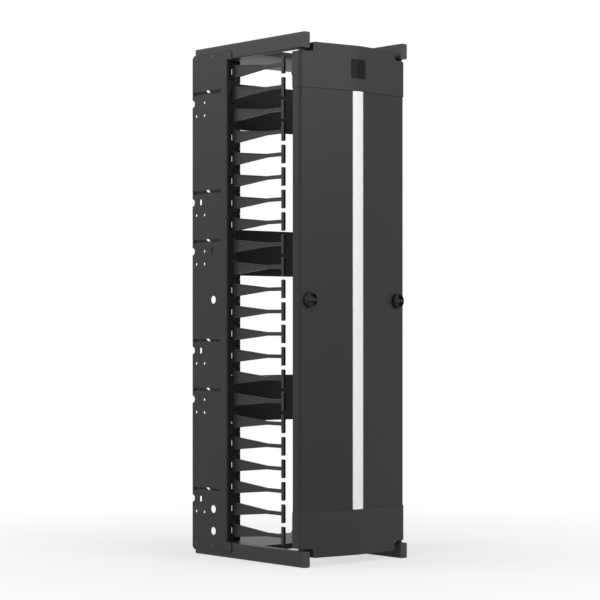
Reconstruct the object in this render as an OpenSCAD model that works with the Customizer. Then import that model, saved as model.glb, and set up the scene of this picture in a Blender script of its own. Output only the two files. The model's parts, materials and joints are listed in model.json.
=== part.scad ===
// Vertical cable manager: a single-sided frame of two beaded side panels, four arms,
// tie plates and moulded T-fingers, closed by a dual-latched door.
// +X is to the right, +Y to the rear and +Z up. The origin is the centre of the
// assembly's box in plan, on the plane that the lower arms stand on.

/* [Overall] */
// Height over the arms
height = 1044; // [1000:1:1120]
// Width over the side panels
width = 280; // [240:1:360]
// Length of an arm, front to rear
arm_length = 344; // [320:1:420]
// How far the side panels run behind the arms
panel_overhang = 8.5; // [0:0.5:20]

/* [Arms] */
// Width of the arm tube
arm_w = 17; // [15:0.5:24]
// Height of the arm tube
arm_h = 31; // [26:0.5:40]
// Wall of the arm tube
arm_wall = 1.6; // [1.2:0.1:2.5]
// Outer corner radius of the arm tube
arm_corner = 2.5; // [2:0.1:4]
// Thickness of an end plug's face
plug_face = 2; // [1.5:0.1:4]
// Depth of an end plug inside the tube
plug_depth = 9; // [5:0.5:12]

/* [Side panels] */
// Sheet thickness of panels and plates
sheet = 1.5; // [1.2:0.1:2]
// Depth of a side panel
panel_depth = 115; // [100:1:150]
// Width of the inward front flange
flange_w = 33; // [31:0.5:40]
// Outer radius of a sheet bend
bend_r = 3.5; // [2.5:0.1:5]
// Top of the side panel below the top of the arms
panel_top_inset = 13; // [8:0.5:16]
// Bottom of the side panel above the foot of the arms
panel_foot_inset = 8.5; // [6:0.5:16]
// Length of the ear that follows an arm in front of the flange
ear_length = 15; // [12:0.5:25]
// Corner chamfer of the side panel
panel_chamfer = 6; // [2:0.5:10]

/* [Panel openings] */
// First pressed bead below the top of the arms
bead_first = 92.5; // [84:0.5:110]
// Spacing of the two beads of a group
bead_pair = 205; // [190:1:215]
// Spacing of the bead groups
bead_group = 306; // [300:1:312]
// Groups of beads down a panel
bead_groups = 3; // [1:1:3]
// Height of a bead's groove
bead_h = 9; // [6:0.5:12]
// Depth of a bead's groove
bead_reach = 4; // [2:0.1:5]
// Length of the window in the middle of a bead
window_l = 10; // [6:1:24]
// Distance from the panel's front face to a bead
bead_front = 19; // [18:0.5:30]
// Distance from a bead to the panel's rear edge
bead_rear = 4; // [3:0.5:10]
// Drop from a bead to the first row of holes
hole_row_1 = 20; // [18:0.5:28]
// Drop from a bead to the second row of holes
hole_row_2 = 46.5; // [42:0.5:56]
// Radius of the half-round notch in the rear edge
notch_r = 7.5; // [5:0.5:9]
// Width of an oval bolt slot
oval_w = 7; // [6:0.1:9]
// Height of an oval bolt slot
oval_h = 12.5; // [11:0.5:16]
// Distance of the bolt slots from the rear edge
oval_inset = 28; // [22:0.5:34]
// Diameter of a small panel hole
small_hole = 5.5; // [4:0.1:7]
// Distance of the inner small holes from the rear edge
small_inset = 40; // [37:0.5:44]
// Distance of the outer small holes from the rear edge
edge_inset = 13; // [11:0.5:18]
// Diameter of a large panel hole
large_hole = 16; // [10:0.5:20]
// Distance of the large holes from the rear edge
large_inset = 70; // [62:0.5:76]
// Large holes below the top of the arms
large_drops = [419, 519, 948, 993];

/* [Fingers] */
// Finger pitch, one rack unit
pitch = 44.45; // [44.45:0.01:50]
// Least gap between an arm and the nearest finger pad
finger_margin = 2; // [1:0.1:10]
// Reach of a finger in front of the flange
finger_reach = 165; // [120:1:190]
// Distance from the panel's outer face to the finger
finger_inset = 18; // [16:0.5:22]
// Thickness of a finger
finger_t = 5; // [4:0.1:7]
// Gap between neighbouring finger pads
pad_gap = 0.5; // [0.3:0.1:2]
// Thickness of a finger pad
pad_t = 3; // [2:0.1:5]
// Height of a finger where it leaves the pad
root_h = 27; // [20:0.5:32]
// Height of the slim end of a finger
stem_h = 7.5; // [6:0.1:12]
// Length of the tapered part of a finger
taper_l = 108; // [80:1:120]
// Fillet between a finger and its pad
root_fillet = 4.5; // [2:0.1:6]
// Height of the cross bar on a finger's end
bar_h = 37; // [28:0.5:40]
// Depth of the cross bar
bar_d = 8.6; // [6:0.1:12]
// Corner radius of the cross bar
bar_r = 2; // [1:0.1:3]
// Width of the rim round a finger's web
rim_w = 2.4; // [1.5:0.1:2.8]
// Thickness of a finger's web
web_t = 2; // [1.5:0.1:3]
// Height of the slot that holds a finger's hook
hook_slot_h = 11; // [9:0.5:14]
// Open length of the slot beside the finger
hook_slot_open = 6.5; // [5:0.5:11]
// Width of a finger's hook
hook_w = 8; // [6:0.5:9]
// Reach of the hook's lip along the flange
hook_lip = 3.5; // [2:0.1:4.5]
// Thickness of the hook's lip
hook_t = 2; // [1.5:0.1:2.5]

/* [Tie plates] */
// Middle of the first cross plate below the top of the arms
cross_first = 125; // [100:1:140]
// Spacing of the cross plates
cross_pitch = 298; // [280:1:310]
// Height of a cross plate
cross_h = 93.5; // [70:0.5:110]
// Gap between the finger hooks and a cross plate
cross_gap = 0.9; // [0.5:0.1:3]
// Depth of a cross plate's end tabs
cross_tab = 53; // [30:1:70]
// Distance of the rivets behind a cross plate
cross_rivet_back = 8; // [6:0.5:10]
// Clearance of an end tab round a bead
cross_relief = 1.5; // [0.5:0.1:3]
// Depth of the top and bottom tie plates
end_depth = 165; // [120:1:190]
// Front edge of the tie plates behind the arms' front ends
end_front = 142; // [120:1:160]
// Height of the tie plates' side flanges
end_flange = 22; // [18:0.5:26]

/* [Door] */
// Gap from the ends of the arms to the door caps
door_inset = 17; // [14:0.5:24]
// Door corner behind the arms' front ends
door_setback = 9.5; // [8:0.5:14]
// Depth of the door's side returns
door_return = 22.5; // [20:0.5:30]
// Angle between a door leaf and the door's width
leaf_angle = 6.8; // [4:0.1:8]
// Radius of the rounded nose
nose_r = 85; // [60:1:120]
// Outer corner radius of the door skin
door_corner = 6; // [4:0.5:7]
// Sheet thickness of the door
door_sheet = 1.2; // [1:0.1:1.5]
// Width of the lips on the door's returns
door_lip = 8; // [5:0.5:10]
// Height of a door cap
cap_h = 90; // [70:1:120]
// How far the caps stand proud of the skin
cap_proud = 1.5; // [1.2:0.1:2.5]
// Wall of a door cap
cap_wall = 2.8; // [2.2:0.1:4]
// Length of skin inside a cap
cap_overlap = 12; // [8:0.5:20]
// Gap between the skin and a cap's skirt
cap_gap = 0.2; // [0.1:0.05:0.4]
// Width of the low corner of a cap, under or over an arm
cap_step = 31; // [29:0.5:40]
// Gap between an arm and a cap's low corner
cap_arm_gap = 5; // [4:0.5:8]
// Corner radius of a cap's step
cap_step_r = 4; // [2:0.5:6]
// Width of the light strip on the nose
strip_w = 27.5; // [20:0.5:36]
// Crown of the strip
strip_crown = 2.6; // [1:0.1:3]
// Depth of the recess that holds the strip
strip_recess = 3; // [2:0.1:5]
// Wall of the strip
strip_wall = 1.6; // [1.2:0.1:2]
// Gap round the strip
strip_gap = 0.25; // [0.1:0.05:0.5]
// Width of the stiffening rail
rail_w = 24; // [16:0.5:28]
// Depth of the stiffening rail
rail_d = 12; // [8:0.5:16]
// Width of the plate on the top cap
badge_w = 36; // [24:1:44]
// Height of the plate on the top cap
badge_h = 37; // [20:1:44]
// Thickness of the plate on the top cap
badge_t = 1.4; // [1:0.1:2]
// Middle of the plate below the top of the arms
badge_drop = 63; // [56:1:70]

/* [Latches] */
// Hinge pin in from the panel's outer face
pin_inset = 10; // [9.5:0.1:11]
// Hinge pin behind the arms' front ends
pin_back = 15.2; // [15:0.1:16]
// Diameter of a latch rod
rod_dia = 7; // [6:0.1:8]
// Radial clearance of a rod in its bores
rod_clear = 0.08; // [0.05:0.01:0.1]
// Wall of a pin bush
bush_wall = 1.8; // [1.5:0.1:2.5]
// Length of a pin bush inside an arm
bush_l = 8; // [6:0.5:12]
// Width of the thrust collar round a pin bush
collar_rim = 1; // [0.8:0.1:2]
// Gap between a thrust collar and a door cap
collar_gap = 0.3; // [0.2:0.05:0.5]
// Knob axis in from the panel's outer face
knob_inset = 24; // [23.5:0.1:26]
// Diameter of a knob
knob_dia = 30; // [26:0.5:34]
// Height of a knob's body off the door
knob_body = 8.5; // [6:0.5:12]
// Height of a knob's grip off the door
knob_grip = 9.5; // [8.5:0.5:14]
// Thickness of a knob's grip
grip_t = 6; // [4:0.5:8]
// Depth of the finger pockets in a knob
pocket_depth = 6; // [3:0.5:7]
// Running gap behind a knob
knob_gap = 0.4; // [0.3:0.1:1]
// Diameter of a knob's shaft
shaft_dia = 10; // [8:0.5:11]
// Side of the square on a knob's shaft
square_side = 6.4; // [5:0.1:6.8]
// Wall of a knob bush
knob_bush_wall = 2; // [1.5:0.1:3]
// Length of a knob bush
knob_bush_l = 4.6; // [4:0.1:5]
// Thickness of a scroll cam
cam_t = 3; // [2.5:0.1:3.5]
// Follower radius with the pins thrown
cam_out = 16; // [15:0.1:16.2]
// Travel of a pin in half a turn
stroke = 8; // [7:0.1:8.3]
// Diameter of a follower stud
stud_dia = 4; // [3:0.1:4.2]
// Gap between a stud and its scroll slot
stud_gap = 0.25; // [0.15:0.05:0.4]
// Rim of a cam outside its slots
cam_rim = 2.2; // [1.5:0.1:2.4]
// Thickness of a follower shoe's plate
shoe_t = 2.6; // [2:0.1:4]
// Running gap between a cam and its neighbours
cam_gap = 0.4; // [0.3:0.05:0.6]
// Height of a shoe's socket
socket_h = 16; // [12:0.5:24]
// Wall round a shoe's socket
socket_wall = 1.6; // [1.2:0.1:1.8]
// Height of a rod guide
guide_h = 14; // [10:0.5:20]
// Distance of the inner rod guides from the knob
guide_near = 75; // [70:1:150]
// Distance of the outer rod guides from the end of the skin
guide_far = 30; // [20:1:100]

/* [Fasteners] */
// Shank diameter of a panel screw
screw_dia = 5; // [4:0.1:6]
// Head diameter of a panel screw
screw_head = 9; // [7:0.1:10]
// Head height of a panel screw
screw_head_h = 1.4; // [1:0.1:2]
// Screw rows, in from the ends of the arms
screw_row = 21; // [19.5:0.5:23]
// Shank diameter of a plate rivet
rivet_dia = 4; // [3:0.1:4.5]
// Head diameter of a plate rivet
rivet_head = 7; // [5.5:0.1:7.4]
// Head height of a plate rivet
rivet_head_h = 1.2; // [0.8:0.1:1.6]

/* [Hidden] */

// Small overrun that keeps a cut clear of the faces it opens
cut = 1;
fine = 48;
half = width / 2;

// Door plan: the skin's outer face, with its sharp corner and sharp nose
skin_half = half - cap_proud;
leaf_fall = tan(leaf_angle);
nose_rise = nose_r * (1 / cos(leaf_angle) - 1);
skin_nose = door_setback - skin_half * leaf_fall + nose_rise;
plaque_front = skin_nose - cap_proud - badge_t;

// Depth stations, from the front of the assembly to the rear
depth = arm_length + panel_overhang - plaque_front;
y_arm = -depth / 2 - plaque_front;
y_arm_rear = y_arm + arm_length;
y_rear = y_arm_rear + panel_overhang;
y_flange = y_rear - panel_depth;
y_corner = y_arm + door_setback;
y_return = y_corner + door_return;
y_pin = y_arm + pin_back;
y_cross = y_flange + sheet + hook_t + cross_gap;
y_tie = y_arm + end_front;

// Height stations
z_mid = height / 2;
z_cap = height - door_inset;
z_seam = z_cap - cap_h;
z_step = height - arm_h - cap_arm_gap;
z_skin = z_seam + cap_overlap;
skin_h = 2 * (z_skin - z_mid);

// Fingers: as many as fit between the arms, centred on the height
finger_room = height - 2 * (arm_h + finger_margin);
finger_count = floor(finger_room / pitch);
upper_count = floor(finger_count / 2);
finger_top = z_mid + (finger_count - 1) * pitch / 2;
x_finger = -half + finger_inset;

// Latch plan, in the left leaf's own axes: u along the leaf, v into the door
knob_x = half - knob_inset;
knob_y = y_corner - (skin_half - knob_x) * leaf_fall;
pin_x = half - pin_inset;
rod_du = (knob_x - pin_x) * cos(leaf_angle) - (y_pin - knob_y) * sin(leaf_angle);
rod_dv = (knob_x - pin_x) * sin(leaf_angle) + (y_pin - knob_y) * cos(leaf_angle);
rod_r = rod_dia / 2;
cam_in = cam_out - stroke;
cam_r = cam_out + stud_dia / 2 + stud_gap + cam_rim;
cam_v = knob_bush_l + cam_gap;
shoe_v = cam_v + cam_t + cam_gap;
shoe_foot = stud_dia / 2 + 1.5;
socket_z = cam_r + stroke + 2;
// A drawn pin ends level with its cap, so the thrown pin enters the arm by the rest
z_pin = height - arm_h + stroke - cap_arm_gap;
bush_r = rod_r + rod_clear + bush_wall;

// Colours of the plain model
steel_black = [0.16, 0.16, 0.17];
steel_grey = [0.22, 0.22, 0.23];
moulded_black = [0.10, 0.10, 0.11];
strip_white = [0.93, 0.93, 0.92];
zinc = [0.72, 0.73, 0.75];

// Points of an arc, both ends included
function arc(c, r, a0, a1, n = 8) = [
    for (i = [0:n])
        c + r * [cos(a0 + (a1 - a0) * i / n), sin(a0 + (a1 - a0) * i / n)]
];

// A rectangle with round corners, centred on the origin
function round_rect(w, h, r, n = 4) = concat(
    arc([w / 2 - r, h / 2 - r], r, 0, 90, n),
    arc([r - w / 2, h / 2 - r], r, 90, 180, n),
    arc([r - w / 2, r - h / 2], r, 180, 270, n),
    arc([w / 2 - r, r - h / 2], r, 270, 360, n)
);

module on_right() {
    mirror([1, 0, 0]) children();
}

module both_sides() {
    children();
    on_right() children();
}

module both_ends() {
    children();
    translate([0, 0, height]) mirror([0, 0, 1]) children();
}

module on_bottom() {
    translate([0, 0, height]) mirror([0, 0, 1]) children();
}

// ---------------------------------------------------------------- side panels

function bead_drop(group, row) = bead_first + group * bead_group + row * bead_pair;

// The pressed sheet keeps its thickness round the groove
bead_angle = atan2(bead_reach, bead_h / 2);
bead_shoulder = bead_h / 2 + sheet * tan(bead_angle / 2);
bead_crest = bead_reach + sheet / cos(bead_angle);

// Plan of the bent sheet: flange across the front, web along the side
module panel_plan() {
    outer = arc([-half + bend_r, y_flange + bend_r], bend_r, 270, 180, 6);
    inner = arc([-half + bend_r, y_flange + bend_r], bend_r - sheet, 180, 270, 6);
    polygon(concat(
        [[-half + flange_w, y_flange]],
        outer,
        [[-half, y_rear], [-half + sheet, y_rear]],
        inner,
        [[-half + flange_w, y_flange + sheet]]
    ));
}

module panel_ends() {
    ear_y = y_flange - ear_length;
    ear_z = arm_h + cap_gap;
    corner = panel_chamfer;
    module end_plate(z0, z1) {
        translate([-half + sheet, 0, 0]) rotate([0, -90, 0]) linear_extrude(sheet)
            polygon([
                [z1, y_flange + bend_r],
                [z1, y_rear - cut],
                [z1, y_rear],
                [z0 + corner, y_rear],
                [z0, y_rear - corner],
                [z0, ear_y + corner],
                [z0 + corner, ear_y],
                [z1 - cap_gap, ear_y],
                [z1 - cap_gap, y_flange + bend_r]
            ]);
    }
    end_plate(panel_foot_inset, ear_z);
    on_bottom() end_plate(panel_top_inset, ear_z);
}

module panel_body() {
    difference() {
        union() {
            translate([0, 0, arm_h + cap_gap])
                linear_extrude(height - 2 * (arm_h + cap_gap)) panel_plan();
            panel_ends();
            at_beads() bead_ridge();
        }
        hook_slots();
        at_beads() bead_groove();
        hole_cuts();
        screw_holes();
        cross_rivet_holes();
    }
}

module across_panel(r, y, z, grip = sheet) {
    translate([-half - cut, y, z]) rotate([0, 90, 0])
        cylinder(r = r, h = grip + 2 * cut, $fn = fine);
}

module hook_slots() {
    x0 = x_finger + 1 - hook_slot_open;
    for (i = [0:finger_count - 1])
        translate([x0, y_flange - cut, finger_top - i * pitch - hook_slot_h / 2])
            cube([hook_slot_open + hook_w, sheet + 2 * cut, hook_slot_h]);
}

module at_beads() {
    for (g = [0:bead_groups - 1], row = [0, 1])
        translate([-half, 0, height - bead_drop(g, row)]) children();
}

// Extrudes a front view along the panel's depth, from y0 to y1
module along_depth(y0, y1) {
    translate([0, y1, 0]) rotate([90, 0, 0]) linear_extrude(y1 - y0) children();
}

// Inner side of a bead: a V with flat ends
module bead_ridge() {
    along_depth(y_flange + bead_front, y_rear - bead_rear)
        polygon([
            [0, bead_shoulder],
            [sheet, bead_shoulder],
            [bead_crest, 0],
            [sheet, -bead_shoulder],
            [0, -bead_shoulder]
        ]);
}

// Outer side of a bead, with a window through the upper flank in its middle
module bead_groove() {
    y0 = y_flange + bead_front;
    y1 = y_rear - bead_rear;
    y_mid = (y0 + y1) / 2;
    slope = bead_reach / (bead_h / 2);
    along_depth(y0 + sheet, y1 - sheet)
        polygon([
            [bead_reach, 0],
            [-cut, bead_h / 2 + cut / slope],
            [-cut, -bead_h / 2 - cut / slope]
        ]);
    translate([-cut, y_mid - window_l / 2, 0])
        cube([bead_crest + 2 * cut, window_l, bead_h / 2]);
}

module hole_cuts() {
    for (g = [0:bead_groups - 1], row = [0, 1]) {
        z1 = height - bead_drop(g, row) - hole_row_1;
        z2 = height - bead_drop(g, row) - hole_row_2;
        across_panel(notch_r, y_rear, z1);
        across_panel(small_hole / 2, y_rear - small_inset, z2);
        across_panel(small_hole / 2, y_rear - edge_inset, z2);
        if (row == 0)
            across_panel(small_hole / 2, y_rear - small_inset, z1);
        else
            oval_slot(z1);
    }
    for (drop = large_drops)
        across_panel(large_hole / 2, y_rear - large_inset, height - drop);
}

module oval_slot(z) {
    rise = (oval_h - oval_w) / 2;
    across_panel(oval_w / 2, y_rear - oval_inset, z + rise);
    across_panel(oval_w / 2, y_rear - oval_inset, z - rise);
    translate([-half - cut, y_rear - oval_inset - oval_w / 2, z - rise])
        cube([sheet + 2 * cut, oval_w, 2 * rise]);
}

module side_panel_left() {
    color(steel_grey) panel_body();
}

module side_panel_right() {
    color(steel_grey) on_right() panel_body();
}

// ----------------------------------------------------------------------- arms

rear_screw = 6;
screw_ys = [y_flange - ear_length / 2, y_flange + 48, y_arm_rear - rear_screw];

// Lower left arm: a tube that stands on the floor plane
module arm_body() {
    x_mid = -half + sheet + arm_w / 2;
    tube_l = arm_length - 2 * plug_face;
    difference() {
        translate([x_mid, y_arm + plug_face + tube_l, arm_h / 2]) rotate([90, 0, 0])
            linear_extrude(tube_l) difference() {
                polygon(round_rect(arm_w, arm_h, arm_corner));
                polygon(round_rect(arm_w - 2 * arm_wall, arm_h - 2 * arm_wall,
                    arm_corner - arm_wall, 2));
            }
        translate([-pin_x, y_pin, arm_h - arm_wall - cut])
            cylinder(r = bush_r, h = arm_wall + 2 * cut, $fn = fine);
        for (y = screw_ys)
            translate([-half + sheet - cut, y, screw_row]) rotate([0, 90, 0])
                cylinder(d = screw_dia, h = arm_wall + 2 * cut, $fn = 24);
        tie_rivet_holes();
    }
}

module lower_arm_left() {
    color(steel_black) arm_body();
}

module lower_arm_right() {
    color(steel_black) on_right() arm_body();
}

module upper_arm_left() {
    color(steel_black) on_bottom() arm_body();
}

module upper_arm_right() {
    color(steel_black) on_right() on_bottom() arm_body();
}

// A plug's face carries a hollow skirt that grips the tube's bore
module plug(length) {
    skirt_w = arm_w - 2 * arm_wall - 2 * cap_gap;
    skirt_h = arm_h - 2 * arm_wall - 2 * cap_gap;
    rotate([90, 0, 0]) {
        translate([0, 0, -plug_face])
            linear_extrude(plug_face) polygon(round_rect(arm_w, arm_h, arm_corner));
        linear_extrude(length) difference() {
            polygon(round_rect(skirt_w, skirt_h, arm_corner - arm_wall, 2));
            square([skirt_w - 2 * arm_wall, skirt_h - 2 * arm_wall], center = true);
        }
    }
}

// The rear screw of each arm passes through its plug's skirt
module rear_plugs() {
    color(moulded_black) both_sides() both_ends() difference() {
        translate([-half + sheet + arm_w / 2, y_arm_rear - plug_face, arm_h / 2])
            plug(plug_depth);
        translate([-half + sheet, y_arm_rear - rear_screw, screw_row]) rotate([0, 90, 0])
            cylinder(d = screw_dia + 2 * cap_gap, h = 2 * arm_wall + 1, $fn = 24);
    }
}

// A front plug stops short of the pin bush
module front_plugs() {
    color(moulded_black) both_sides() both_ends()
        translate([-half + sheet + arm_w / 2, y_arm + plug_face, arm_h / 2])
            mirror([0, 1, 0]) plug(pin_back - bush_r - plug_face - cap_gap);
}

module panel_screws() {
    color(steel_black) both_sides() both_ends()
        for (y = screw_ys)
            translate([-half, y, screw_row]) rotate([0, 90, 0]) {
                translate([0, 0, -screw_head_h])
                    cylinder(d1 = screw_head - 2 * screw_head_h, d2 = screw_head,
                        h = screw_head_h, $fn = 32);
                cylinder(d = screw_dia, h = sheet + arm_wall + 2, $fn = 24);
            }
}

module screw_holes() {
    both_ends() for (y = screw_ys)
        across_panel(screw_dia / 2, y, screw_row);
}

// ----------------------------------------------------------------- tie plates

tie_rivet_ys = [y_tie + 20, y_tie + end_depth / 2, y_tie + end_depth - 20];

module tie_rivet_holes() {
    for (y = tie_rivet_ys)
        translate([-half + sheet + arm_w - arm_wall - cut, y, arm_h / 2]) rotate([0, 90, 0])
            cylinder(d = rivet_dia, h = arm_wall + sheet + 2 * cut, $fn = 24);
}

// The plate bridges the arms, level with their inner faces, on two side flanges
module tie_plate_body() {
    inner = half - sheet - arm_w;
    difference() {
        union() {
            translate([-inner, y_tie, arm_h - sheet])
                cube([2 * inner, end_depth, sheet]);
            translate([-inner, y_tie, arm_h - end_flange])
                cube([sheet, end_depth, end_flange]);
            translate([inner - sheet, y_tie, arm_h - end_flange])
                cube([sheet, end_depth, end_flange]);
            translate([-inner, y_tie, arm_h - end_flange / 2])
                cube([2 * inner, sheet, end_flange / 2]);
        }
        both_sides() tie_rivet_holes();
    }
}

module bottom_tie_plate() {
    color(steel_grey) tie_plate_body();
}

module top_tie_plate() {
    color(steel_grey) on_bottom() tie_plate_body();
}

module tie_plate_rivets() {
    grip = arm_wall + sheet;
    color(steel_black) both_sides() both_ends()
        for (y = tie_rivet_ys)
            translate([-half + sheet + arm_w - arm_wall, y, arm_h / 2]) rotate([0, 90, 0]) {
                cylinder(d = rivet_dia, h = grip, $fn = 24);
                translate([0, 0, grip])
                    cylinder(d1 = rivet_head, d2 = rivet_head - 2 * rivet_head_h,
                        h = rivet_head_h, $fn = 24);
                translate([0, 0, -rivet_head_h])
                    cylinder(d = rivet_dia + 1.5, h = rivet_head_h, $fn = 24);
            }
}

cross_rivet_y = y_cross + sheet + cross_rivet_back;

function cross_z(i) = height - cross_first - i * cross_pitch;

// Rivet heights from a cross plate's middle, both under the bead
cross_rivet_dzs = [-cross_h * 0.04, -cross_h * 0.4];

module cross_rivet_holes() {
    for (i = [0:2], dz = cross_rivet_dzs)
        across_panel(rivet_dia / 2, cross_rivet_y, cross_z(i) + dz);
}

// The plate crosses behind the finger hooks, on tabs riveted inside the panels,
// and each tab is cut away where a bead runs past it
module cross_plate_body(i) {
    inner = half - sheet;
    relief_y = y_flange + bead_front - cross_relief;
    relief_half = bead_shoulder + cross_relief;
    difference() {
        translate([0, 0, cross_z(i) - cross_h / 2]) linear_extrude(cross_h) {
            translate([-inner, y_cross]) square([2 * inner, sheet]);
            for (x = [-inner, inner - sheet])
                translate([x, y_cross]) square([sheet, sheet + cross_tab]);
        }
        both_sides() {
            for (dz = cross_rivet_dzs)
                across_panel(rivet_dia / 2, cross_rivet_y, cross_z(i) + dz, 2 * sheet);
            at_beads() translate([0, relief_y, -relief_half])
                cube([2 * sheet + cut, y_rear - relief_y, 2 * relief_half]);
        }
    }
}

module cross_plate_upper() {
    color(steel_black) cross_plate_body(0);
}

module cross_plate_middle() {
    color(steel_black) cross_plate_body(1);
}

module cross_plate_lower() {
    color(steel_black) cross_plate_body(2);
}

// Flush rivets: level with the panel outside, headed inside
module cross_plate_rivets() {
    color(steel_black) both_sides() for (i = [0:2], dz = cross_rivet_dzs)
        translate([-half, cross_rivet_y, cross_z(i) + dz])
            rotate([0, 90, 0]) {
                cylinder(d = rivet_dia, h = 2 * sheet, $fn = 24);
                translate([0, 0, 2 * sheet])
                    cylinder(d1 = rivet_head, d2 = rivet_head - 2 * rivet_head_h,
                        h = rivet_head_h, $fn = 24);
            }
}

// -------------------------------------------------------------------- fingers

// Half height of a finger's taper, at a distance from the pad's back
function taper_half(s) = (root_h - (root_h - stem_h) * (s - pad_t) / taper_l) / 2;

// Outline of a finger's blade, lower half first: pad face, fillet, taper, stem, cross bar
module blade_outline() {
    bar_s = finger_reach - bar_d;
    taper_end = pad_t + taper_l;
    f = root_fillet;
    half_outline = concat(
        [[0, root_h / 2 + f], [pad_t, root_h / 2 + f]],
        arc([pad_t + f, root_h / 2 + f], f, 180, 265, 4),
        [[taper_end, stem_h / 2], [bar_s, stem_h / 2], [bar_s, bar_h / 2]],
        arc([finger_reach - bar_r, bar_h / 2 - bar_r], bar_r, 90, 0, 3)
    );
    polygon(concat(
        half_outline,
        [for (i = [len(half_outline) - 1:-1:0]) [half_outline[i][0], -half_outline[i][1]]]
    ));
}

// Pocket beside the web, one rim inside the taper
module blade_pocket() {
    s0 = pad_t + root_fillet + rim_w;
    s1 = pad_t + taper_l * 0.86;
    h0 = taper_half(s0) - rim_w;
    h1 = taper_half(s1) - rim_w;
    polygon([[s0, -h0], [s1, -h1], [s1, h1], [s0, h0]]);
}

// One finger: blade, pad and hook, pointing to the front from the flange's face
module finger() {
    pad_h = pitch - pad_gap;
    pocket = (finger_t - web_t) / 2;
    pad_w = flange_w - finger_inset;
    translate([0, y_flange, 0]) {
        rotate([0, 0, -90]) rotate([90, 0, 0]) difference() {
            linear_extrude(finger_t) blade_outline();
            translate([0, 0, -cut]) linear_extrude(pocket + cut) blade_pocket();
            translate([0, 0, finger_t - pocket]) linear_extrude(pocket + cut) blade_pocket();
        }
        translate([0, -pad_t, -pad_h / 2])
            cube([pad_w, pad_t, pad_h]);
        translate([1, -cut, -hook_slot_h / 2 + cap_gap])
            cube([hook_w - cap_gap, sheet + hook_t + cut + 0.1, hook_slot_h - 2 * cap_gap]);
        translate([1, sheet + 0.1, -hook_slot_h / 2 + cap_gap])
            cube([hook_w + hook_lip, hook_t, hook_slot_h - 2 * cap_gap]);
    }
}

module finger_bank(first, last) {
    color(moulded_black) for (i = [first:last])
        translate([x_finger, 0, finger_top - i * pitch]) finger();
}

module fingers_left_upper() {
    finger_bank(0, upper_count - 1);
}

module fingers_left_lower() {
    finger_bank(upper_count, finger_count - 1);
}

module fingers_right_upper() {
    on_right() finger_bank(0, upper_count - 1);
}

module fingers_right_lower() {
    on_right() finger_bank(upper_count, finger_count - 1);
}

// ----------------------------------------------------------------------- door

// Plan of the door, grown outward by off: side returns, round corners, V with a round nose
module door_plan(off, back = 0) {
    r = door_corner + off;
    corner = [-skin_half + door_corner,
        y_corner + door_corner * (1 - sin(leaf_angle)) / cos(leaf_angle)];
    nose = [0, y_arm + skin_nose + nose_r];
    left = concat(
        [[-skin_half - off, y_return + back]],
        arc(corner, r, 180, 270 - leaf_angle, 6),
        arc(nose, nose_r + off, 270 - leaf_angle, 270, 4)
    );
    polygon(concat(
        left,
        [for (i = [len(left) - 2:-1:0]) [-left[i][0], left[i][1]]]
    ));
}

module door_shell(outer, inner) {
    difference() {
        door_plan(outer);
        door_plan(inner, cut);
    }
}

recess_half = strip_w / 2 + strip_gap;
y_recess = y_corner - (skin_half - recess_half) * leaf_fall + strip_recess;

module skin_plan() {
    difference() {
        door_shell(0, -door_sheet);
        translate([-recess_half, y_recess - 20]) square([2 * recess_half, 20]);
    }
    translate([-recess_half - door_sheet, y_recess])
        square([2 * (recess_half + door_sheet), door_sheet]);
    both_sides() {
        translate([-recess_half - door_sheet, y_recess - strip_recess + door_sheet / 2])
            square([door_sheet, strip_recess]);
        translate([-skin_half, y_return - door_sheet])
            square([door_lip, door_sheet]);
    }
}

module door_skin() {
    color(steel_grey) difference() {
        translate([0, 0, height - z_skin]) linear_extrude(skin_h) skin_plan();
        both_sides() at_knob() rotate([-90, 0, 0]) translate([0, 0, -cut])
            cylinder(d = shaft_dia + 2 * rod_clear + 2 * knob_bush_wall,
                h = door_sheet + 2 * cut, $fn = fine);
    }
}

// Solid cap: low corners that clear the arms, and a round step up to full height
module cap_block() {
    x0 = half - cap_step;
    intersection() {
        translate([0, 0, z_seam]) linear_extrude(z_cap - z_seam) door_plan(cap_proud);
        translate([0, y_return + cut, 0]) rotate([90, 0, 0])
            linear_extrude(y_return - y_arm + 40)
                polygon(cap_front(half + cut, x0, z_seam, z_step, z_cap));
    }
}

// Front view of a cap between its seam and its end
function cap_front(x_out, x_in, z0, z_low, z_high) = let(
    r = cap_step_r,
    side = concat(
        [[x_out, z0], [x_out, z_low], [x_in + r, z_low]],
        arc([x_in + r, z_low + r], r, 270, 180, 4),
        arc([x_in - r, z_high - r], r, 0, 90, 4)
    )
) concat(
    side,
    [for (i = [len(side) - 1:-1:0]) [-side[i][0], side[i][1]]]
);

module door_cap_body() {
    x0 = half - cap_step - cap_wall;
    difference() {
        cap_block();
        intersection() {
            translate([0, 0, z_seam - cut]) linear_extrude(z_cap - z_seam)
                door_plan(cap_proud - cap_wall, cut);
            translate([0, y_return + 2 * cut, 0]) rotate([90, 0, 0])
                linear_extrude(y_return - y_arm + 40)
                    polygon(cap_front(half, x0, z_seam - cut, z_step - cap_wall,
                        z_cap - cap_wall));
        }
        translate([0, 0, z_seam - cut]) linear_extrude(cap_overlap + cut)
            door_plan(cap_gap, cut);
        both_sides() translate([-pin_x, y_pin, z_step - cap_wall - cut])
            cylinder(r = rod_r + rod_clear, h = cap_wall + 2 * cut, $fn = fine);
    }
}

module door_cap_top() {
    color(steel_grey) door_cap_body();
}

module door_cap_bottom() {
    color(steel_grey) on_bottom() door_cap_body();
}

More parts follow.
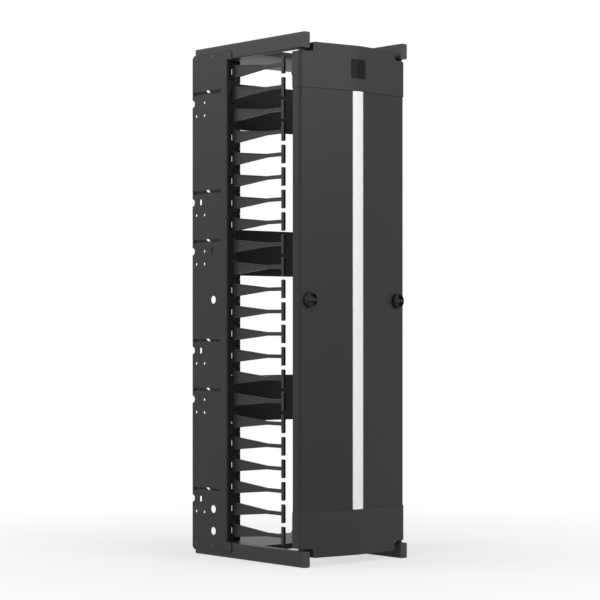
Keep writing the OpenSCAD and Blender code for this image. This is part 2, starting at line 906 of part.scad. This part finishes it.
// A crowned snap-in moulding with two legs
module door_strip() {
    w = strip_w / 2;
    y_edge = y_recess - strip_recess;
    r = (w * w + strip_crown * strip_crown) / (2 * strip_crown);
    a = asin(w / r);
    crown = arc([0, y_edge - strip_crown + r], r, 270 - a, 270 + a, 12);
    color(strip_white) translate([0, 0, height - z_seam + cap_gap])
        linear_extrude(2 * (z_seam - z_mid) - 2 * cap_gap) difference() {
            polygon(concat(crown, [[w, y_recess], [-w, y_recess]]));
            translate([-w + strip_wall, y_edge])
                square([2 * (w - strip_wall), strip_recess + cut]);
        }
}

// A bare plate that follows the nose of the top cap
module door_plaque() {
    color(moulded_black)
        translate([0, 0, height - badge_drop - badge_h / 2]) linear_extrude(badge_h)
            intersection() {
                door_shell(cap_proud + badge_t, cap_proud);
                translate([-badge_w / 2, y_arm - 40]) square([badge_w, 60]);
            }
}

module door_rail() {
    y0 = y_recess + door_sheet;
    color(zinc) translate([0, 0, height - z_skin + 2]) linear_extrude(skin_h - 4)
        difference() {
            translate([-rail_w / 2, y0]) square([rail_w, rail_d]);
            translate([-rail_w / 2 + door_sheet, y0 + door_sheet])
                square([rail_w - 2 * door_sheet, rail_d]);
        }
}

// -------------------------------------------------------------------- latches

// Moves its children to the left knob: X along the leaf, +Y into the door
module at_knob() {
    translate([-knob_x, knob_y, z_mid]) rotate([0, 0, -leaf_angle]) children();
}

module below() {
    mirror([0, 0, 1]) children();
}

module knob_body_solid() {
    shaft_r = shaft_dia / 2;
    r = knob_dia / 2;
    edge = 1.6;
    difference() {
        union() {
            rotate([90, 0, 0]) rotate_extrude($fn = fine)
                polygon(concat(
                    [[0, knob_gap], [r - edge / 2, knob_gap], [r, knob_gap + edge]],
                    arc([r - edge - 0.6, knob_body - edge], edge, 0, 90, 4),
                    [[0, knob_body]]
                ));
            translate([-r * 0.82, -knob_grip, -grip_t / 2])
                cube([r * 1.64, knob_grip - knob_gap - cut, grip_t]);
        }
        for (side = [0, 180]) rotate([0, side, 0])
            rotate([90, 0, 0]) translate([0, 0, knob_body - pocket_depth])
                linear_extrude(knob_grip) intersection() {
                    circle(r = r - 2.6, $fn = fine);
                    translate([-r, grip_t / 2]) square([2 * r, r]);
                }
    }
    rotate([-90, 0, 0]) {
        translate([0, 0, -knob_gap - 1])
            cylinder(r = shaft_r, h = knob_gap + 1 + cam_v, $fn = fine);
        translate([-square_side / 2, -square_side / 2, 0])
            cube([square_side, square_side, cam_v + cam_t]);
    }
}

module knob_left() {
    color(moulded_black) at_knob() knob_body_solid();
}

module knob_right() {
    color(moulded_black) on_right() at_knob() knob_body_solid();
}

module knob_bush() {
    bore_r = shaft_dia / 2 + rod_clear;
    body_r = bore_r + knob_bush_wall;
    rotate([-90, 0, 0]) difference() {
        union() {
            cylinder(r = body_r, h = knob_bush_l, $fn = fine);
            translate([0, 0, door_sheet])
                cylinder(r = body_r + 3, h = 1.6, $fn = fine);
        }
        translate([0, 0, -cut]) cylinder(r = bore_r, h = knob_bush_l + 2 * cut, $fn = fine);
    }
}

module knob_bushes() {
    color(moulded_black) both_sides() at_knob() knob_bush();
}

// One spiral slot: the follower's radius falls evenly by one stroke in half a turn
module scroll_slot() {
    steps = 30;
    w = stud_dia / 2 + stud_gap;
    function radius(i) = cam_out - stroke * i / steps;
    function at(i, off) = (radius(i) + off) * [cos(90 - 180 * i / steps), sin(90 - 180 * i / steps)];
    polygon(concat(
        [for (i = [0:steps]) at(i, w)],
        [for (i = [steps:-1:0]) at(i, -w)]
    ));
    translate(at(0, 0)) circle(r = w, $fn = 24);
    translate(at(steps, 0)) circle(r = w, $fn = 24);
}

module cam_body() {
    translate([0, cam_v + cam_t, 0]) rotate([90, 0, 0]) linear_extrude(cam_t) difference() {
        circle(r = cam_r, $fn = 96);
        scroll_slot();
        rotate(180) scroll_slot();
        square(square_side + 0.1, center = true);
    }
}

module scroll_cam_left() {
    color(zinc) at_knob() cam_body();
}

module scroll_cam_right() {
    color(zinc) on_right() at_knob() cam_body();
}

// Pan head screw that holds the cam on the shaft
module cam_screw_body() {
    translate([0, cam_v + cam_t, 0]) rotate([-90, 0, 0]) difference() {
        cylinder(d1 = 2 * (cam_in - shoe_foot - 1), d2 = 2 * (cam_in - shoe_foot - 1) - 1.6,
            h = 2.2, $fn = 32);
        translate([-0.5, -4, 1.2]) cube([1, 8, 2]);
    }
}

module cam_screw_left() {
    color(zinc) at_knob() cam_screw_body();
}

module cam_screw_right() {
    color(zinc) on_right() at_knob() cam_screw_body();
}

// Follower shoe over the cam, its stud at radius r above the knob's axis
module shoe_body(r) {
    lift = r - cam_out;
    socket_r = rod_r + socket_wall;
    top = socket_z + socket_h;
    translate([0, 0, lift]) {
        translate([0, shoe_v + shoe_t, 0]) rotate([90, 0, 0]) linear_extrude(shoe_t)
            polygon(concat(
                arc([0, cam_out], shoe_foot, 180, 360, 10),
                [[shoe_foot, socket_z + shoe_foot], [rod_du + socket_r, top]],
                [[rod_du + socket_r - 1, top], [rod_du + socket_r - 1, socket_z]],
                [[-shoe_foot, socket_z - shoe_foot]]
            ));
        translate([0, shoe_v + 0.1, cam_out]) rotate([90, 0, 0])
            cylinder(d = stud_dia, h = shoe_v + 0.1 - cam_v, $fn = 32);
        difference() {
            union() {
                translate([rod_du, rod_dv, socket_z])
                    cylinder(r = socket_r, h = socket_h, $fn = fine);
                translate([rod_du - socket_r, rod_dv, socket_z])
                    cube([2 * socket_r, shoe_v + shoe_t - rod_dv, socket_h]);
            }
            translate([rod_du, rod_dv, socket_z + 3])
                cylinder(r = rod_r + rod_clear, h = socket_h, $fn = fine);
        }
    }
}

// Rod from the bottom of its socket to the pin's tip, thrown or drawn by lift
module rod_body(lift) {
    z0 = z_mid + socket_z + 3 + lift;
    length = z_pin + lift - z0;
    translate([-pin_x, y_pin, z0]) {
        cylinder(r = rod_r, h = length - 1, $fn = fine);
        translate([0, 0, length - 1])
            cylinder(r1 = rod_r, r2 = rod_r - 1, h = 1, $fn = fine);
    }
}

module upper_rod_left() {
    color(zinc) rod_body(0);
}

module lower_rod_left() {
    color(zinc) on_bottom() rod_body(0);
}

module upper_rod_right() {
    color(zinc) on_right() rod_body(-stroke);
}

module lower_rod_right() {
    color(zinc) on_right() on_bottom() rod_body(-stroke);
}

module upper_shoe_left() {
    color(moulded_black) at_knob() shoe_body(cam_out);
}

module lower_shoe_left() {
    color(moulded_black) at_knob() below() shoe_body(cam_out);
}

module upper_shoe_right() {
    color(moulded_black) on_right() at_knob() shoe_body(cam_in);
}

module lower_shoe_right() {
    color(moulded_black) on_right() at_knob() below() shoe_body(cam_in);
}

// Guide block on the door's side return, its front corner cut to clear the skin's bend
module guide(z) {
    x0 = -skin_half + door_sheet;
    x1 = -pin_x + rod_r + 2;
    y0 = y_pin - rod_r - 0.8;
    y1 = y_pin + rod_r + 2.5;
    bend = door_corner - door_sheet + 2 * cap_gap;
    translate([0, 0, z - guide_h / 2]) difference() {
        linear_extrude(guide_h)
            polygon([[x0, y0 + bend], [x0 + bend, y0], [x1, y0], [x1, y1], [x0, y1]]);
        translate([-pin_x, y_pin, -cut])
            cylinder(r = rod_r + rod_clear, h = guide_h + 2 * cut, $fn = fine);
    }
}

module guide_set() {
    near = guide_near;
    far = z_skin - guide_far - z_mid;
    for (dz = [near, far, -near, -far])
        guide(z_mid + dz);
}

module rod_guides_left() {
    color(moulded_black) guide_set();
}

module rod_guides_right() {
    color(moulded_black) on_right() guide_set();
}

// Bush in an arm: its collar carries the door, and its bore takes the pin
module bush() {
    bore_r = rod_r + rod_clear;
    translate([-pin_x, y_pin, arm_h]) difference() {
        union() {
            translate([0, 0, -bush_l]) cylinder(r = bush_r, h = bush_l + 0.1, $fn = fine);
            cylinder(r = bush_r + collar_rim, h = cap_arm_gap - collar_gap, $fn = fine);
        }
        translate([0, 0, -bush_l - cut])
            cylinder(r = bore_r, h = bush_l + cap_arm_gap + 2 * cut, $fn = fine);
    }
}

module pin_bushes() {
    color(moulded_black) both_sides() both_ends() bush();
}

side_panel_left();
side_panel_right();
upper_arm_left();
upper_arm_right();
lower_arm_left();
lower_arm_right();
front_plugs();
rear_plugs();
top_tie_plate();
bottom_tie_plate();
cross_plate_upper();
cross_plate_middle();
cross_plate_lower();
fingers_left_upper();
fingers_left_lower();
fingers_right_upper();
fingers_right_lower();
panel_screws();
cross_plate_rivets();
tie_plate_rivets();
pin_bushes();
door_skin();
door_cap_top();
door_cap_bottom();
door_strip();
door_plaque();
door_rail();
rod_guides_left();
rod_guides_right();
knob_bushes();
knob_left();
knob_right();
scroll_cam_left();
scroll_cam_right();
cam_screw_left();
cam_screw_right();
upper_rod_left();
lower_rod_left();
upper_rod_right();
lower_rod_right();
upper_shoe_left();
lower_shoe_left();
upper_shoe_right();
lower_shoe_right();
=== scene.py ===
# %% [markdown]
# # Vertical cable manager
# A cable manager is a tall steel frame that stands beside a server rack. Two
# folded side panels carry moulded fingers, cables run between the fingers, and
# a shallow V door hides them. The frame of exact solids comes from the packed
# model. This lesson dresses it: edges get their small radii, and every surface
# gets its finish.

import json
from math import cos, pi, radians, sin

import bmesh
import bpy
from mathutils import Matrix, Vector


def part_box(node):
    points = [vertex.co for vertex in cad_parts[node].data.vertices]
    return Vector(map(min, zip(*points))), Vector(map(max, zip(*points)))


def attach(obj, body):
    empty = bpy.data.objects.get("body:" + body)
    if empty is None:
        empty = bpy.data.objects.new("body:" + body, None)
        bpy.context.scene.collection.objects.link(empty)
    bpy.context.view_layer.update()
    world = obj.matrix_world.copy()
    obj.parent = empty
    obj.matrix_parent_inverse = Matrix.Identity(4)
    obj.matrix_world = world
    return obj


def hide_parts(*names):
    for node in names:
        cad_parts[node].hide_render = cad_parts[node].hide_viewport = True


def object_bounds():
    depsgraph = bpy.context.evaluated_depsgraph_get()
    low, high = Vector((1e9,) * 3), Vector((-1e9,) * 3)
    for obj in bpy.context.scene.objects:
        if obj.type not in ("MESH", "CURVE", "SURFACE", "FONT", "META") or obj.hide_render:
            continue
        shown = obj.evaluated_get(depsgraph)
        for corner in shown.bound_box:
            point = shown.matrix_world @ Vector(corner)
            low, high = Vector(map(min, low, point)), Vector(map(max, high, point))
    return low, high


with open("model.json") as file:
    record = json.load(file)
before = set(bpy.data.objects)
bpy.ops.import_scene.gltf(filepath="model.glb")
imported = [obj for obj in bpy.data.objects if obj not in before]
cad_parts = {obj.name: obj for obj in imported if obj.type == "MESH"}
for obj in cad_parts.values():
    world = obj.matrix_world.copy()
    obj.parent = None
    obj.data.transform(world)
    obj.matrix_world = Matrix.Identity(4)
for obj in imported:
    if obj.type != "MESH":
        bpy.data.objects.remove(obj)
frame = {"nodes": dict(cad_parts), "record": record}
cad_low, cad_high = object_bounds()
MM = 0.001
HEIGHT = cad_high.z
print("frame:", len(frame["nodes"]), "nodes,", round(HEIGHT / MM), "mm tall")

# %% [markdown]
# ## Shader maths that reads like maths
# A procedural finish is a sum of patterns. Wiring Math nodes one by one hides
# that, so a small class wraps a socket and overloads the operators: adding two
# wires adds the node. The paint class makes any other node from its type, its
# settings and its inputs.


# %% A socket with operators
class Wire:
    """One output of a material's node tree."""

    def __init__(self, paint, socket):
        self.paint = paint
        self.socket = socket

    def maths(self, operation, first, second=0.0):
        return self.paint.node("ShaderNodeMath", {"operation": operation}, first, second)

    def __add__(self, other):
        return self.maths("ADD", self, other)

    __radd__ = __add__

    def __sub__(self, other):
        return self.maths("SUBTRACT", self, other)

    def __rsub__(self, other):
        return self.maths("SUBTRACT", other, self)

    def __mul__(self, other):
        return self.maths("MULTIPLY", self, other)

    __rmul__ = __mul__

    def __truediv__(self, other):
        return self.maths("DIVIDE", self, other)

    def at_most(self, other):
        return self.maths("MINIMUM", self, other)

    def at_least(self, other):
        return self.maths("MAXIMUM", self, other)


# %% A material and its nodes
class Paint:
    """A material with one Principled shader, and the place its patterns are read in."""

    def __init__(self, name, color, roughness, **constants):
        self.material = bpy.data.materials.new(name)
        self.material.use_nodes = True
        self.material.diffuse_color = (*color, 1)
        self.tree = self.material.node_tree
        self.shader = self.tree.nodes["Principled BSDF"]
        self.color = color
        self.set("Base Color", (*color, 1))
        self.set("Roughness", roughness)
        for socket, value in constants.items():
            self.set(socket.replace("_", " "), value)
        self.place = self.node("ShaderNodeTexCoord", {}, out="Object")

    def plug(self, socket, value):
        if isinstance(value, Wire):
            self.tree.links.new(value.socket, socket)
        else:
            socket.default_value = value

    def node(self, kind, settings, *values, out=0, **named):
        made = self.tree.nodes.new(kind)
        for key, value in settings.items():
            setattr(made, key, value)
        for socket, value in zip(made.inputs, values):
            self.plug(socket, value)
        for key, value in named.items():
            self.plug(made.inputs[key], value)
        return Wire(self, made.outputs[out])

    def set(self, socket, value):
        self.plug(self.shader.inputs[socket], value)

    def noise(self, size, detail, place=None):
        """Noise whose lumps are about size millimetres across, from 0 to 1."""
        return self.node(
            "ShaderNodeTexNoise", {}, Vector=place or self.place,
            Scale=1 / (size * MM), Detail=detail,
        )

    def shade(self, amount):
        """The base colour, made lighter or darker by a wire around 1."""
        grey = self.node("ShaderNodeCombineXYZ", {}, amount, amount, amount)
        mixed = self.node(
            "ShaderNodeVectorMath", {"operation": "MULTIPLY"}, self.color, grey
        )
        self.set("Base Color", mixed)

    def bump(self, height, depth, strength):
        """Relief of a wire from 0 to 1, depth millimetres high."""
        self.set("Normal", self.node(
            "ShaderNodeBump", {}, Strength=strength, Distance=depth * MM, Height=height,
        ))


# %% [markdown]
# ## Powder coat
# The steel is powder coated: the powder melts into a skin with a fine grain and
# the slow waves that painters call orange peel. Two noises of different size
# give both, and a third varies the gloss a little, because no oven heats a
# tall panel evenly. Bump is enough here, since the grain is far finer than
# any outline.


# %% Powder-coated steel
MATT_GLOSS = 0.22
COAT_ROUGHNESS = 0.42


def powder_coat(name, color, grain=0.9):
    paint = Paint(name, color, COAT_ROUGHNESS, Specular_IOR_Level=MATT_GLOSS)
    waves = paint.noise(4.5, 1.0)
    specks = paint.noise(grain, 2.0)
    clouds = paint.noise(160, 3.0)
    paint.shade(0.90 + 0.14 * clouds + 0.07 * specks)
    paint.set("Roughness", COAT_ROUGHNESS - 0.06 + 0.10 * clouds + 0.05 * specks)
    paint.bump(0.55 * waves + 0.45 * specks, 0.10, 0.45)
    return paint.material


# %% [markdown]
# ## Moulded plastics
# The door caps, fingers and knobs are moulded. A mould is spark-eroded, so the
# parts come out with an even, leathery matt. Voronoi cells with noise over
# them look like that, and they are finer than the powder's grain.


# %% Moulded plastic
def moulding(name, color, roughness=0.45, grain=0.7, depth=0.07, gloss=MATT_GLOSS):
    paint = Paint(name, color, roughness, Specular_IOR_Level=gloss)
    cells = paint.node(
        "ShaderNodeTexVoronoi", {"feature": "SMOOTH_F1"}, Vector=paint.place,
        Scale=1 / (grain * MM), Smoothness=0.6,
    )
    specks = paint.noise(grain * 2, 2.0)
    clouds = paint.noise(60, 2.0)
    paint.shade(0.90 + 0.12 * clouds + 0.08 * specks)
    paint.set("Roughness", roughness - 0.05 + 0.08 * clouds + 0.06 * specks)
    paint.bump(0.6 * cells + 0.4 * specks, depth, 0.4)
    return paint.material


# %% [markdown]
# ## The plaque
# The bare plaque on the top cap is a smoother moulding than the cap round it.
# It needs no relief: a lower roughness sets it off, and one slow haze keeps
# that roughness from being perfectly even.


# %% Gloss moulding
def gloss_moulding(name, color):
    paint = Paint(name, color, 0.3, Specular_IOR_Level=0.12)
    haze = paint.noise(9, 2.0)
    paint.set("Roughness", 0.26 + 0.10 * haze)
    paint.shade(0.95 + 0.10 * haze)
    return paint.material


# %% [markdown]
# ## The light strip
# The strip is an extruded, milky plastic. A little subsurface light keeps it
# from looking like painted metal, and faint lines run along its length from
# the extrusion die: noise that is stretched by a Mapping node.


# %% Milky strip
def milky_strip(name, color):
    paint = Paint(
        name, color, 0.42, Subsurface_Weight=0.12, Subsurface_Scale=0.004,
        Specular_IOR_Level=0.45,
    )
    stretched = paint.node(
        "ShaderNodeMapping", {}, Vector=paint.place, Scale=(1.0, 1.0, 0.01)
    )
    lines = paint.noise(1.2, 2.0, stretched)
    clouds = paint.noise(70, 2.0)
    paint.shade(0.96 + 0.03 * lines + 0.03 * clouds)
    paint.set("Roughness", 0.36 + 0.12 * lines)
    paint.bump(lines, 0.03, 0.3)
    return paint.material


# %% [markdown]
# ## Plated steel
# The latch's rods and cams are zinc plated: bright, with soft drawing marks
# along the metal and a cloudy passivation. The small screws are black zinc,
# which is dark but still a metal under its sheen.


# %% Plated steel
def plated_steel(name, color, roughness=0.3, metallic=1.0):
    paint = Paint(name, color, roughness, Metallic=metallic)
    drawn = paint.node(
        "ShaderNodeMapping", {}, Vector=paint.place, Scale=(1.0, 1.0, 0.06)
    )
    marks = paint.noise(0.6, 3.0, drawn)
    clouds = paint.noise(14, 3.0)
    paint.shade(0.84 + 0.16 * clouds + 0.08 * marks)
    paint.set("Roughness", roughness - 0.06 + 0.14 * marks + 0.08 * clouds)
    paint.bump(marks, 0.02, 0.35)
    return paint.material


# %% The finishes by the record's slots
FINISH = {
    "panel_coat": powder_coat("panel_coat", (0.022, 0.022, 0.0225)),
    "arm_coat": powder_coat("arm_coat", (0.034, 0.034, 0.0345)),
    "door_coat": powder_coat("door_coat", (0.020, 0.020, 0.0205), grain=0.8),
    "cap_plastic": moulding("cap_plastic", (0.026, 0.026, 0.0265)),
    "plug_plastic": moulding("plug_plastic", (0.050, 0.050, 0.051)),
    "finger_plastic": moulding("finger_plastic", (0.014, 0.014, 0.0145), 0.38, gloss=0.3),
    "knob_plastic": moulding("knob_plastic", (0.010, 0.010, 0.0105), 0.4, 0.6),
    "strip_plastic": milky_strip("strip_plastic", (0.84, 0.84, 0.83)),
    "plaque_plastic": gloss_moulding("plaque_plastic", (0.003, 0.003, 0.0032)),
    "fastener_black": plated_steel("fastener_black", (0.05, 0.05, 0.052), 0.38, 0.7),
    "bush_nylon": moulding("bush_nylon", (0.016, 0.016, 0.0165), 0.45, 0.5, 0.04),
    "zinc_steel": plated_steel("zinc_steel", (0.62, 0.63, 0.65)),
}
SLOT_OF = {s["node"]: s["material_slot"] for s in frame["record"]["subparts"]}
BODY_OF = {
    node: body
    for body, nodes in frame["record"]["behaviour"]["bodies"].items()
    for node in nodes
}
print("finishes:", len(FINISH))

# %% [markdown]
# ## Edges with a radius
# No real sheet or moulding has a knife edge, and it is the small radius that
# catches a line of light. Each solid's mesh arrives as loose triangles, so its
# copy is merged, the flat triangles are joined again, and only the sharp edges
# are bevelled. Weighted normals then keep the flats flat beside the radii.


# %% Turn a bmesh into a piece of the object
SMOOTH_BELOW = radians(32)


def piece(name, mesh_maker, slot, body):
    """Makes a mesh object, gives it its finish and hangs it on its body."""
    mesh = bpy.data.meshes.new(name)
    mesh_maker.to_mesh(mesh)
    mesh_maker.free()
    for face in mesh.polygons:
        face.use_smooth = True
    mesh.set_sharp_from_angle(angle=SMOOTH_BELOW)
    mesh.materials.append(FINISH[slot])
    made = bpy.data.objects.new(name, mesh)
    bpy.context.scene.collection.objects.link(made)
    weights = made.modifiers.new("even_normals", "WEIGHTED_NORMAL")
    weights.keep_sharp = True
    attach(made, body)
    return made


# %% A softened copy of a solid
MERGE_WITHIN = 0.004 * MM
FLAT_BELOW = radians(0.4)
ROUND_ABOVE = radians(34)
BEVEL_SEGMENTS = 2


def soften(node, radius):
    """Rounds a copy of the node's edges, radius in millimetres, and shows it instead."""
    shape = bmesh.new()
    shape.from_mesh(frame["nodes"][node].data)
    bmesh.ops.remove_doubles(shape, verts=shape.verts, dist=MERGE_WITHIN)
    bmesh.ops.dissolve_limit(
        shape, angle_limit=FLAT_BELOW, use_dissolve_boundaries=False,
        verts=shape.verts, edges=shape.edges, delimit={"NORMAL"},
    )
    sharp = [
        edge for edge in shape.edges
        if edge.is_manifold and edge.calc_face_angle() > ROUND_ABOVE
    ]
    bmesh.ops.bevel(
        shape, geom=sharp, offset=radius * MM, offset_type="OFFSET", affect="EDGES",
        segments=BEVEL_SEGMENTS, profile=0.5, clamp_overlap=False, material=-1,
    )
    made = piece("soft_" + node, shape, SLOT_OF[node], BODY_OF[node])
    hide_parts(node)


# %% [markdown]
# ## Sheet metal and mouldings
# Sheet and tube get a radius of about a quarter of a millimetre, as a cut edge
# has after its powder coat. Most mouldings are rounder. The radius is one
# number for each node, so the loop below is the whole bench. The end plugs,
# the plaque, the rods, the screws and the rivets keep their solids' edges.

# %% Soften the solids
EDGE_RADIUS = {
    "side_panel_left": 0.3, "side_panel_right": 0.3,
    "upper_arm_left": 0.25, "upper_arm_right": 0.25,
    "lower_arm_left": 0.25, "lower_arm_right": 0.25,
    "top_tie_plate": 0.3, "bottom_tie_plate": 0.3,
    "cross_plate_upper": 0.3, "cross_plate_middle": 0.3, "cross_plate_lower": 0.3,
    "fingers_left_upper": 0.55, "fingers_left_lower": 0.55,
    "fingers_right_upper": 0.55, "fingers_right_lower": 0.55,
    "door_skin": 0.25, "door_cap_top": 0.5, "door_cap_bottom": 0.5,
    "door_strip": 0.35, "door_rail": 0.2,
    "rod_guides_left": 0.4, "rod_guides_right": 0.4,
    "pin_bushes": 0.3, "knob_bushes": 0.3,
    "knob_left": 0.5, "knob_right": 0.5,
    "scroll_cam_left": 0.2, "scroll_cam_right": 0.2,
    "upper_shoe_left": 0.4, "lower_shoe_left": 0.4,
    "upper_shoe_right": 0.4, "lower_shoe_right": 0.4,
}
for node_name, edge_radius in EDGE_RADIUS.items():
    soften(node_name, edge_radius)
print("softened:", len(EDGE_RADIUS), "nodes")

# %% Plain nodes keep their shape and take their finish
for node_name, solid in frame["nodes"].items():
    if not solid.hide_render:
        solid.data.materials.clear()
        solid.data.materials.append(FINISH[SLOT_OF[node_name]])

# %% [markdown]
# ## Stage
# The floor and the air behind are white, so that the dark frame reads clearly.
# The floor takes the object's shadow near its foot and fades into plain white
# further out. The world is white to the camera and in reflections, and
# dimmer as a lamp, because the area lamps do the modelling.

# %% Floor
FLOOR_SIZE = 14.0
FLOOR_DROP = 0.2 * MM
FADE_START = 0.25
FADE_WIDTH = 0.9
WHITE_AT_FOOT = 0.62
floor_mesh = bmesh.new()
bmesh.ops.create_grid(floor_mesh, x_segments=1, y_segments=1, size=FLOOR_SIZE / 2)
floor_data = bpy.data.meshes.new("floor")
floor_mesh.to_mesh(floor_data)
floor_mesh.free()
floor = bpy.data.objects.new("floor", floor_data)
bpy.context.scene.collection.objects.link(floor)
floor.location.z = -FLOOR_DROP

floor_paint = Paint("floor_white", (0.90, 0.90, 0.90), 0.9, Specular_IOR_Level=0.1)
distance = floor_paint.node(
    "ShaderNodeVectorMath", {"operation": "LENGTH"}, floor_paint.place, out="Value"
)
light_path = floor_paint.tree.nodes.new("ShaderNodeLightPath")
seen = Wire(floor_paint, light_path.outputs["Is Camera Ray"])
mirrored = Wire(floor_paint, light_path.outputs["Is Glossy Ray"])
fade = ((distance - FADE_START) / FADE_WIDTH).at_least(0.0).at_most(1.0)
white = floor_paint.node("ShaderNodeEmission", {}, Color=(1, 1, 1, 1), Strength=1.0)
lit = Wire(floor_paint, floor_paint.shader.outputs[0])
share = (seen + mirrored).at_most(1.0) * (WHITE_AT_FOOT + (1 - WHITE_AT_FOOT) * fade)
floor_mix = floor_paint.node("ShaderNodeMixShader", {}, share, lit, white)
floor_paint.plug(floor_paint.tree.nodes["Material Output"].inputs["Surface"], floor_mix)
floor_data.materials.append(floor_paint.material)
print("floor:", FLOOR_SIZE, "m square")

# %% World
world = bpy.data.worlds.new("studio_air")
bpy.context.scene.world = world
world.use_nodes = True
air = world.node_tree
backdrop = air.nodes["Background"]
ray = air.nodes.new("ShaderNodeLightPath")
AIR_LIGHT = 0.3


def air_maths(operation, first, second):
    made = air.nodes.new("ShaderNodeMath")
    made.operation = operation
    for socket, value in zip(made.inputs, (first, second)):
        if isinstance(value, float):
            socket.default_value = value
        else:
            air.links.new(value, socket)
    return made.outputs[0]


shown = air_maths("MAXIMUM", ray.outputs["Is Camera Ray"], ray.outputs["Is Glossy Ray"])
shown = air_maths("MAXIMUM", shown, ray.outputs["Is Transmission Ray"])
strength = air_maths("MULTIPLY", shown, 1.0 - AIR_LIGHT)
air.links.new(air_maths("ADD", strength, AIR_LIGHT), backdrop.inputs["Strength"])
backdrop.inputs["Color"].default_value = (1, 1, 1, 1)
print("air as a lamp:", AIR_LIGHT)

# %% [markdown]
# ## Lamps
# Dark steel shows its form mostly by what it mirrors, so three large, soft
# boxes stand round it: one before the door, one behind the side panel and one
# between them. They are big and far off, which keeps their edges out of the
# flat faces.


# %% Soft boxes
def soft_box(name, place, target, size, power):
    """A square area lamp at place that faces target, in metres and watts."""
    lamp = bpy.data.lights.new(name, "AREA")
    lamp.size = size
    lamp.energy = power
    made = bpy.data.objects.new(name, lamp)
    bpy.context.scene.collection.objects.link(made)
    made.location = place
    towards = Vector(target) - Vector(place)
    made.rotation_euler = towards.to_track_quat("-Z", "Y").to_euler()


middle = Vector((0, 0, HEIGHT / 2))
soft_box("front", (0.7, -3.0, 2.1), middle, 1.4, 58)
soft_box("side", (-2.3, 1.9, 2.3), middle, 1.4, 34)
soft_box("key", (-2.9, -1.1, 2.2), middle, 1.2, 26)

# %% [markdown]
# ## Camera
# The camera stands a little below the middle of the object and far off to its
# left. It is level, so the uprights stay parallel, and the lens is shifted up
# instead of the camera being tilted, as an architect's camera does.

# %% Camera
VIEW_TURN = radians(-40.4)
EYE_HEIGHT = 0.463
CORNER_DISTANCE = 3.885
CORNER_OFFSET = 0.0052
back = Vector((sin(VIEW_TURN), -cos(VIEW_TURN), 0))
right = Vector((cos(VIEW_TURN), sin(VIEW_TURN), 0))
arm_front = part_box("front_plugs")[0]
corner = Vector((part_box("side_panel_left")[0].x, arm_front.y, EYE_HEIGHT))
camera_data = bpy.data.cameras.new("camera")
camera_data.lens = 120
camera_data.shift_y = 0.05
camera_data.clip_end = 60
camera = bpy.data.objects.new("camera", camera_data)
bpy.context.scene.collection.objects.link(camera)
camera.location = corner + back * CORNER_DISTANCE - right * CORNER_OFFSET
camera.rotation_euler = (pi / 2, 0, VIEW_TURN)
bpy.context.scene.camera = camera
bpy.context.scene.view_settings.view_transform = "Standard"
print("camera at", [round(v, 3) for v in camera.location])
